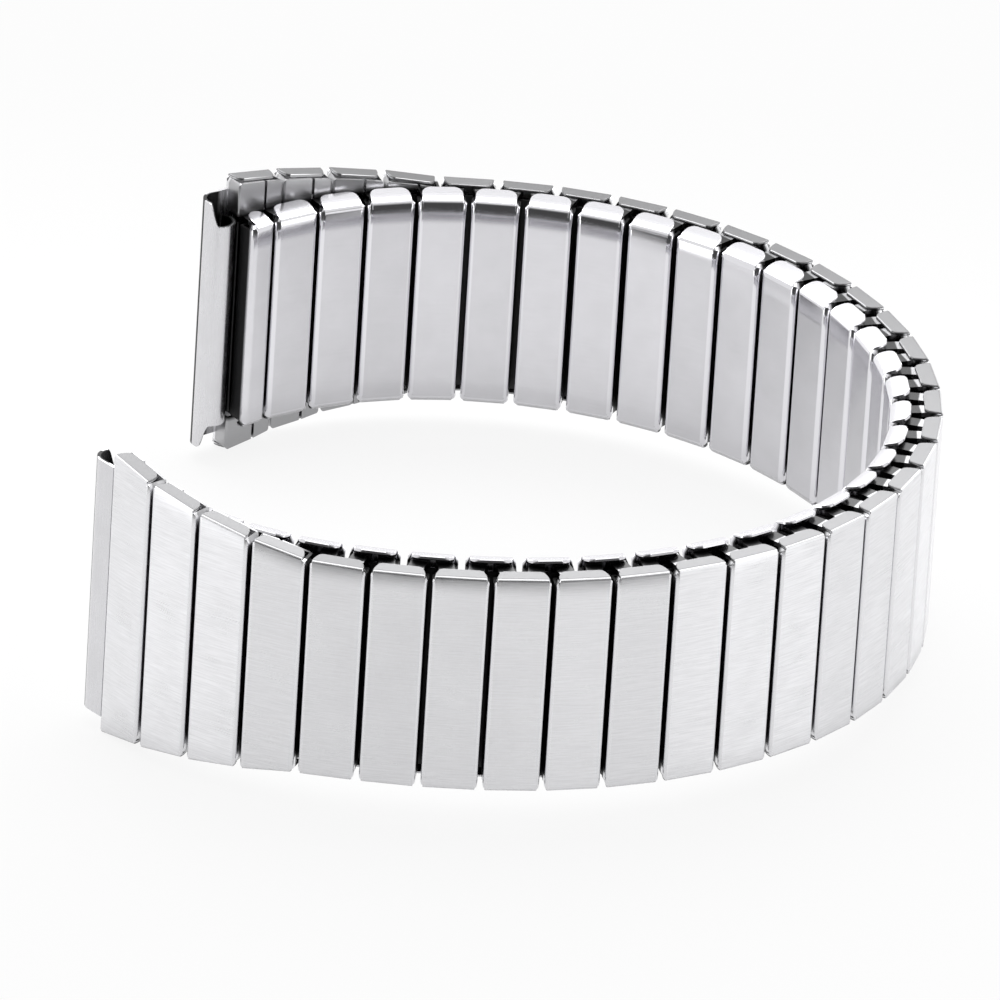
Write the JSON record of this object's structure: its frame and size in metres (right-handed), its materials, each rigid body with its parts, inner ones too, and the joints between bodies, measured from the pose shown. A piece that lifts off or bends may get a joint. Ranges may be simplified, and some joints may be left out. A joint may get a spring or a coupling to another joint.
{
  "type": "expansion watch band",
  "caption": "Curved expansion band for a wrist watch: two staggered rows of folded steel sleeves tied by U-shaped bows, with a rolled lug tube at each end.",
  "frame": {"origin": "under the middle of the band, at the height of its lowest edge", "axes": "+Z across the band's width, +X and +Y in the plane of its curve, with the band's two ends at its -X side and +Y along its longest reach"},
  "size_m": [0.0592, 0.064, 0.0218],
  "materials": {
    "sleeve_steel": "brushed",
    "inner_steel": "polished",
    "bow_steel": "satin",
    "spring_steel": "satin",
    "lug_steel": "brushed"
  },
  "bodies": {
    "link_01": {"link_01": "sleeve_steel", "lug_end_front": "lug_steel"},
    "link_02": {"link_02": "sleeve_steel"},
    "link_03": {"link_03": "sleeve_steel"},
    "link_04": {"link_04": "sleeve_steel"},
    "link_05": {"link_05": "sleeve_steel"},
    "link_06": {"link_06": "sleeve_steel"},
    "link_07": {"link_07": "sleeve_steel"},
    "link_08": {"link_08": "sleeve_steel"},
    "link_09": {"link_09": "sleeve_steel"},
    "link_10": {"link_10": "sleeve_steel"},
    "link_11": {"link_11": "sleeve_steel"},
    "link_12": {"link_12": "sleeve_steel"},
    "link_13": {"link_13": "sleeve_steel"},
    "link_14": {"link_14": "sleeve_steel"},
    "link_15": {"link_15": "sleeve_steel"},
    "link_16": {"link_16": "sleeve_steel"},
    "link_17": {"link_17": "sleeve_steel"},
    "link_18": {"link_18": "sleeve_steel"},
    "link_19": {"link_19": "sleeve_steel"},
    "link_20": {"link_20": "sleeve_steel"},
    "link_21": {"link_21": "sleeve_steel"},
    "link_22": {"link_22": "sleeve_steel"},
    "link_23": {"link_23": "sleeve_steel"},
    "link_24": {"link_24": "sleeve_steel"},
    "link_25": {"link_25": "sleeve_steel"},
    "link_26": {"link_26": "sleeve_steel"},
    "link_27": {"link_27": "sleeve_steel"},
    "link_28": {"link_28": "sleeve_steel"},
    "link_29": {"link_29": "sleeve_steel"},
    "link_30": {"link_30": "sleeve_steel"},
    "link_31": {"link_31": "sleeve_steel"},
    "link_32": {"link_32": "sleeve_steel"},
    "link_33": {"link_33": "sleeve_steel"},
    "link_34": {"link_34": "sleeve_steel"},
    "link_35": {"link_35": "sleeve_steel", "lug_end_back": "lug_steel"},
    "bows_01": {"bows_01": "bow_steel"},
    "bows_02": {"bows_02": "bow_steel"},
    "bows_04": {"bows_04": "bow_steel"},
    "bows_05": {"bows_05": "bow_steel"},
    "bows_07": {"bows_07": "bow_steel"},
    "bows_08": {"bows_08": "bow_steel"},
    "bows_10": {"bows_10": "bow_steel"},
    "bows_11": {"bows_11": "bow_steel"},
    "bows_13": {"bows_13": "bow_steel"},
    "bows_14": {"bows_14": "bow_steel"},
    "bows_16": {"bows_16": "bow_steel"},
    "bows_17": {"bows_17": "bow_steel"},
    "bows_19": {"bows_19": "bow_steel"},
    "bows_20": {"bows_20": "bow_steel"},
    "bows_22": {"bows_22": "bow_steel"},
    "bows_23": {"bows_23": "bow_steel"},
    "bows_25": {"bows_25": "bow_steel"},
    "bows_26": {"bows_26": "bow_steel"},
    "bows_28": {"bows_28": "bow_steel"},
    "bows_29": {"bows_29": "bow_steel"},
    "bows_31": {"bows_31": "bow_steel"},
    "bows_32": {"bows_32": "bow_steel"},
    "bows_34": {"bows_34": "bow_steel"}
  },
  "joints": [
    {"name": "stretch_01", "type": "slide", "parent": "link_02", "child": "link_01", "axis": [-0.7877, 0.6161, 0], "range_m": [0, 0.0014]},
    {"name": "swing_01", "type": "hinge", "parent": "link_01", "child": "bows_01", "pos_m": [-0.02249, -0.02292, 0.0109], "axis": [0, 0, 1], "range_deg": [0, 30.01]},
    {"name": "stretch_02", "type": "slide", "parent": "link_03", "child": "link_02", "axis": [-0.8794, 0.4761, 0], "range_m": [0, 0.0014]},
    {"name": "swing_02", "type": "hinge", "parent": "link_02", "child": "bows_02", "pos_m": [-0.01944, -0.02516, 0.0109], "axis": [0, 0, 1], "range_deg": [0, 30.01]},
    {"name": "flex_03", "type": "hinge", "parent": "link_04", "child": "link_03", "pos_m": [-0.01713, -0.02919, 0.0109], "axis": [0, 0, 1], "range_deg": [-2, 12]},
    {"name": "stretch_04", "type": "slide", "parent": "link_05", "child": "link_04", "axis": [-0.987, 0.1604, 0], "range_m": [0, 0.0014]},
    {"name": "swing_04", "type": "hinge", "parent": "link_04", "child": "bows_04", "pos_m": [-0.01245, -0.02797, 0.0109], "axis": [0, 0, 1], "range_deg": [0, 30.01]},
    {"name": "stretch_05", "type": "slide", "parent": "link_06", "child": "link_05", "axis": [-0.9997, 0.0225, 0], "range_m": [0, 0.0014]},
    {"name": "swing_05", "type": "hinge", "parent": "link_05", "child": "bows_05", "pos_m": [-0.00859, -0.02854, 0.0109], "axis": [0, 0, 1], "range_deg": [0, 30.01]},
    {"name": "flex_06", "type": "hinge", "parent": "link_07", "child": "link_06", "pos_m": [-0.00465, -0.03137, 0.0109], "axis": [0, 0, 1], "range_deg": [-2, 12]},
    {"name": "stretch_07", "type": "slide", "parent": "link_08", "child": "link_07", "axis": [-0.9857, -0.1687, 0], "range_m": [0, 0.0014]},
    {"name": "swing_07", "type": "hinge", "parent": "link_07", "child": "bows_07", "pos_m": [-0.00057, -0.02864, 0.0109], "axis": [0, 0, 1], "range_deg": [0, 30.01]},
    {"name": "stretch_08", "type": "slide", "parent": "link_09", "child": "link_08", "axis": [-0.9616, -0.2744, 0], "range_m": [0, 0.0014]},
    {"name": "swing_08", "type": "hinge", "parent": "link_08", "child": "bows_08", "pos_m": [0.00335, -0.02809, 0.0109], "axis": [0, 0, 1], "range_deg": [0, 30.01]},
    {"name": "flex_09", "type": "hinge", "parent": "link_10", "child": "link_09", "pos_m": [0.0079, -0.02951, 0.0109], "axis": [0, 0, 1], "range_deg": [-2, 12]},
    {"name": "stretch_10", "type": "slide", "parent": "link_11", "child": "link_10", "axis": [-0.8623, -0.5064, 0], "range_m": [0, 0.0014]},
    {"name": "swing_10", "type": "hinge", "parent": "link_10", "child": "bows_10", "pos_m": [0.01074, -0.02554, 0.0109], "axis": [0, 0, 1], "range_deg": [0, 30.01]},
    {"name": "stretch_11", "type": "slide", "parent": "link_12", "child": "link_11", "axis": [-0.7915, -0.6112, 0], "range_m": [0, 0.0014]},
    {"name": "swing_11", "type": "hinge", "parent": "link_11", "child": "bows_11", "pos_m": [0.01413, -0.02359, 0.0109], "axis": [0, 0, 1], "range_deg": [0, 30.01]},
    {"name": "flex_12", "type": "hinge", "parent": "link_13", "child": "link_12", "pos_m": [0.01889, -0.02323, 0.0109], "axis": [0, 0, 1], "range_deg": [-2, 12]},
    {"name": "stretch_13", "type": "slide", "parent": "link_14", "child": "link_13", "axis": [-0.606, -0.7955, 0], "range_m": [0, 0.0014]},
    {"name": "swing_13", "type": "hinge", "parent": "link_13", "child": "bows_13", "pos_m": [0.02001, -0.0185, 0.0109], "axis": [0, 0, 1], "range_deg": [0, 30.01]},
    {"name": "stretch_14", "type": "slide", "parent": "link_15", "child": "link_14", "axis": [-0.481, -0.8767, 0], "range_m": [0, 0.0014]},
    {"name": "swing_14", "type": "hinge", "parent": "link_14", "child": "bows_14", "pos_m": [0.0223, -0.01542, 0.0109], "axis": [0, 0, 1], "range_deg": [0, 30.01]},
    {"name": "flex_15", "type": "hinge", "parent": "link_16", "child": "link_15", "pos_m": [0.02642, -0.01315, 0.0109], "axis": [0, 0, 1], "range_deg": [-2, 12]},
    {"name": "stretch_16", "type": "slide", "parent": "link_17", "child": "link_16", "axis": [-0.2019, -0.9794, 0], "range_m": [0, 0.0014]},
    {"name": "swing_16", "type": "hinge", "parent": "link_16", "child": "bows_16", "pos_m": [0.02538, -0.00841, 0.0109], "axis": [0, 0, 1], "range_deg": [0, 30.01]},
    {"name": "stretch_17", "type": "slide", "parent": "link_18", "child": "link_17", "axis": [-0.0541, -0.9985, 0], "range_m": [0, 0.0014], "stiffness_N_per_m": 20000},
    {"name": "swing_17", "type": "hinge", "parent": "link_17", "child": "bows_17", "pos_m": [0.02611, -0.00464, 0.0109], "axis": [0, 0, 1], "range_deg": [0, 30.01]},
    {"name": "flex_18", "type": "hinge", "parent": "link_18", "child": "link_19", "pos_m": [0.02887, -0.0008, 0.0109], "axis": [0, 0, -1], "range_deg": [-2, 12]},
    {"name": "stretch_19", "type": "slide", "parent": "link_19", "child": "link_20", "axis": [-0.2157, 0.9765, 0], "range_m": [0, 0.0014]},
    {"name": "swing_19", "type": "hinge", "parent": "link_19", "child": "bows_19", "pos_m": [0.02597, 0.00312, 0.0109], "axis": [0, 0, 1], "range_deg": [0, 30.01]},
    {"name": "stretch_20", "type": "slide", "parent": "link_20", "child": "link_21", "axis": [-0.3405, 0.9403, 0], "range_m": [0, 0.0014]},
    {"name": "swing_20", "type": "hinge", "parent": "link_20", "child": "bows_20", "pos_m": [0.02515, 0.00694, 0.0109], "axis": [0, 0, 1], "range_deg": [0, 30.01]},
    {"name": "flex_21", "type": "hinge", "parent": "link_21", "child": "link_22", "pos_m": [0.02624, 0.01157, 0.0109], "axis": [0, 0, -1], "range_deg": [-2, 12]},
    {"name": "stretch_22", "type": "slide", "parent": "link_22", "child": "link_23", "axis": [-0.5708, 0.8211, 0], "range_m": [0, 0.0014]},
    {"name": "swing_22", "type": "hinge", "parent": "link_22", "child": "bows_22", "pos_m": [0.02207, 0.01409, 0.0109], "axis": [0, 0, 1], "range_deg": [0, 30.01]},
    {"name": "stretch_23", "type": "slide", "parent": "link_23", "child": "link_24", "axis": [-0.6724, 0.7401, 0], "range_m": [0, 0.0014]},
    {"name": "swing_23", "type": "hinge", "parent": "link_23", "child": "bows_23", "pos_m": [0.01986, 0.01731, 0.0109], "axis": [0, 0, 1], "range_deg": [0, 30.01]},
    {"name": "flex_24", "type": "hinge", "parent": "link_24", "child": "link_25", "pos_m": [0.01911, 0.02201, 0.0109], "axis": [0, 0, -1], "range_deg": [-2, 12]},
    {"name": "stretch_25", "type": "slide", "parent": "link_25", "child": "link_26", "axis": [-0.8402, 0.5424, 0], "range_m": [0, 0.0014]},
    {"name": "swing_25", "type": "hinge", "parent": "link_25", "child": "bows_25", "pos_m": [0.01429, 0.02276, 0.0109], "axis": [0, 0, 1], "range_deg": [0, 30.01]},
    {"name": "stretch_26", "type": "slide", "parent": "link_26", "child": "link_27", "axis": [-0.9034, 0.4288, 0], "range_m": [0, 0.0014]},
    {"name": "swing_26", "type": "hinge", "parent": "link_26", "child": "bows_26", "pos_m": [0.01102, 0.02489, 0.0109], "axis": [0, 0, 1], "range_deg": [0, 30.01]},
    {"name": "flex_27", "type": "hinge", "parent": "link_27", "child": "link_28", "pos_m": [0.00854, 0.02895, 0.0109], "axis": [0, 0, -1], "range_deg": [-2, 12]},
    {"name": "stretch_28", "type": "slide", "parent": "link_28", "child": "link_29", "axis": [-0.9833, 0.1821, 0], "range_m": [0, 0.0014]},
    {"name": "swing_28", "type": "hinge", "parent": "link_28", "child": "bows_28", "pos_m": [0.0038, 0.02781, 0.0109], "axis": [0, 0, 1], "range_deg": [0, 30.01]},
    {"name": "stretch_29", "type": "slide", "parent": "link_29", "child": "link_30", "axis": [-0.9986, 0.0531, 0], "range_m": [0, 0.0014]},
    {"name": "swing_29", "type": "hinge", "parent": "link_29", "child": "bows_29", "pos_m": [-0.00003, 0.02855, 0.0109], "axis": [0, 0, 1], "range_deg": [0, 30.01]},
    {"name": "flex_30", "type": "hinge", "parent": "link_30", "child": "link_31", "pos_m": [-0.00387, 0.03135, 0.0109], "axis": [0, 0, -1], "range_deg": [-2, 12]},
    {"name": "stretch_31", "type": "slide", "parent": "link_31", "child": "link_32", "axis": [-0.9759, -0.2181, 0], "range_m": [0, 0.0014]},
    {"name": "swing_31", "type": "hinge", "parent": "link_31", "child": "bows_31", "pos_m": [-0.00777, 0.02847, 0.0109], "axis": [0, 0, 1], "range_deg": [0, 30.01]},
    {"name": "stretch_32", "type": "slide", "parent": "link_32", "child": "link_33", "axis": [-0.9278, -0.373, 0], "range_m": [0, 0.0014]},
    {"name": "swing_32", "type": "hinge", "parent": "link_32", "child": "bows_32", "pos_m": [-0.01145, 0.02755, 0.0109], "axis": [0, 0, 1], "range_deg": [0, 30.01]},
    {"name": "flex_33", "type": "hinge", "parent": "link_33", "child": "link_34", "pos_m": [-0.01604, 0.02837, 0.0109], "axis": [0, 0, -1], "range_deg": [-2, 12]},
    {"name": "stretch_34", "type": "slide", "parent": "link_34", "child": "link_35", "axis": [-0.7604, -0.6494, 0], "range_m": [0, 0.0014]},
    {"name": "swing_34", "type": "hinge", "parent": "link_34", "child": "bows_34", "pos_m": [-0.01813, 0.024, 0.0109], "axis": [0, 0, 1], "range_deg": [0, 30.01]}
  ],
  "couplings": [
    {"joint": "stretch_01", "follows": "stretch_17", "ratio": 1},
    {"joint": "swing_01", "follows": "stretch_17", "rad_per_m": 372.75},
    {"joint": "stretch_02", "follows": "stretch_17", "ratio": 1},
    {"joint": "swing_02", "follows": "stretch_17", "rad_per_m": 372.75},
    {"joint": "flex_03", "follows": "flex_18", "ratio": 1},
    {"joint": "stretch_04", "follows": "stretch_17", "ratio": 1},
    {"joint": "swing_04", "follows": "stretch_17", "rad_per_m": 372.75},
    {"joint": "stretch_05", "follows": "stretch_17", "ratio": 1},
    {"joint": "swing_05", "follows": "stretch_17", "rad_per_m": 372.75},
    {"joint": "flex_06", "follows": "flex_18", "ratio": 1},
    {"joint": "stretch_07", "follows": "stretch_17", "ratio": 1},
    {"joint": "swing_07", "follows": "stretch_17", "rad_per_m": 372.75},
    {"joint": "stretch_08", "follows": "stretch_17", "ratio": 1},
    {"joint": "swing_08", "follows": "stretch_17", "rad_per_m": 372.75},
    {"joint": "flex_09", "follows": "flex_18", "ratio": 1},
    {"joint": "stretch_10", "follows": "stretch_17", "ratio": 1},
    {"joint": "swing_10", "follows": "stretch_17", "rad_per_m": 372.75},
    {"joint": "stretch_11", "follows": "stretch_17", "ratio": 1},
    {"joint": "swing_11", "follows": "stretch_17", "rad_per_m": 372.75},
    {"joint": "flex_12", "follows": "flex_18", "ratio": 1},
    {"joint": "stretch_13", "follows": "stretch_17", "ratio": 1},
    {"joint": "swing_13", "follows": "stretch_17", "rad_per_m": 372.75},
    {"joint": "stretch_14", "follows": "stretch_17", "ratio": 1},
    {"joint": "swing_14", "follows": "stretch_17", "rad_per_m": 372.75},
    {"joint": "flex_15", "follows": "flex_18", "ratio": 1},
    {"joint": "stretch_16", "follows": "stretch_17", "ratio": 1},
    {"joint": "swing_16", "follows": "stretch_17", "rad_per_m": 372.75},
    {"joint": "swing_17", "follows": "stretch_17", "rad_per_m": 372.75},
    {"joint": "stretch_19", "follows": "stretch_17", "ratio": 1},
    {"joint": "swing_19", "follows": "stretch_17", "rad_per_m": 372.75},
    {"joint": "stretch_20", "follows": "stretch_17", "ratio": 1},
    {"joint": "swing_20", "follows": "stretch_17", "rad_per_m": 372.75},
    {"joint": "flex_21", "follows": "flex_18", "ratio": 1},
    {"joint": "stretch_22", "follows": "stretch_17", "ratio": 1},
    {"joint": "swing_22", "follows": "stretch_17", "rad_per_m": 372.75},
    {"joint": "stretch_23", "follows": "stretch_17", "ratio": 1},
    {"joint": "swing_23", "follows": "stretch_17", "rad_per_m": 372.75},
    {"joint": "flex_24", "follows": "flex_18", "ratio": 1},
    {"joint": "stretch_25", "follows": "stretch_17", "ratio": 1},
    {"joint": "swing_25", "follows": "stretch_17", "rad_per_m": 372.75},
    {"joint": "stretch_26", "follows": "stretch_17", "ratio": 1},
    {"joint": "swing_26", "follows": "stretch_17", "rad_per_m": 372.75},
    {"joint": "flex_27", "follows": "flex_18", "ratio": 1},
    {"joint": "stretch_28", "follows": "stretch_17", "ratio": 1},
    {"joint": "swing_28", "follows": "stretch_17", "rad_per_m": 372.75},
    {"joint": "stretch_29", "follows": "stretch_17", "ratio": 1},
    {"joint": "swing_29", "follows": "stretch_17", "rad_per_m": 372.75},
    {"joint": "flex_30", "follows": "flex_18", "ratio": 1},
    {"joint": "stretch_31", "follows": "stretch_17", "ratio": 1},
    {"joint": "swing_31", "follows": "stretch_17", "rad_per_m": 372.75},
    {"joint": "stretch_32", "follows": "stretch_17", "ratio": 1},
    {"joint": "swing_32", "follows": "stretch_17", "rad_per_m": 372.75},
    {"joint": "flex_33", "follows": "flex_18", "ratio": 1},
    {"joint": "stretch_34", "follows": "stretch_17", "ratio": 1},
    {"joint": "swing_34", "follows": "stretch_17", "rad_per_m": 372.75}
  ]
}
